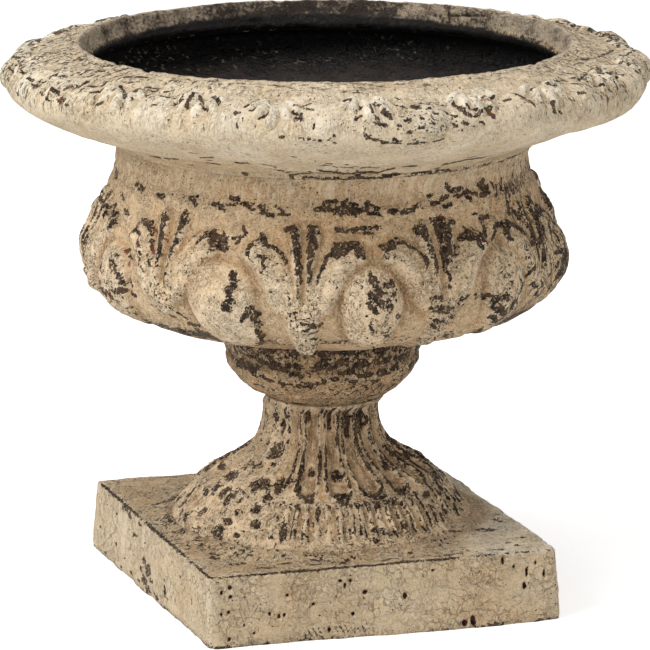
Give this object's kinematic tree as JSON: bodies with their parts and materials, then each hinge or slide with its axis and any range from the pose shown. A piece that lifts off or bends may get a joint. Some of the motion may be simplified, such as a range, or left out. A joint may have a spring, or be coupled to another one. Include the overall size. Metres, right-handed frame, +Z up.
{
  "type": "cachepot",
  "caption": "Low campana cachepot with an egg-carved bowl, rolled rim, fluted foot and square plinth, for holding a plant in its inner pot.",
  "frame": {"origin": "centre of the plinth's underside, on the pot's vertical axis", "axes": "+Z up along the pot's axis; X and Y along the plinth's sides, -Y towards one side of the plinth"},
  "size_m": [0.3986, 0.3986, 0.348],
  "materials": {
    "painted_stone": "distressed cream and tan paint over a dark brown undercoat, matte",
    "mortar": "dark bedding mortar, matte",
    "bitumen_coat": "hand-brushed black bitumen coat, satin",
    "zinc_steel": "zinc plated",
    "rubber": "matte"
  },
  "bodies": {
    "root": {"rim_ring": "painted_stone", "bowl": "painted_stone", "collar": "painted_stone", "fluted_foot": "painted_stone", "plinth": "painted_stone", "rim_mortar_bed": "mortar", "bowl_mortar_bed": "mortar", "collar_mortar_bed": "mortar", "foot_mortar_bed": "mortar", "waterproof_coat": "bitumen_coat", "floor_mastic_plug": "bitumen_coat", "tie_rod": "zinc_steel", "top_nut": "zinc_steel", "top_washer": "zinc_steel", "top_rubber_seal": "rubber", "bottom_nut": "zinc_steel", "bottom_washer": "zinc_steel"}
  },
  "joints": []
}
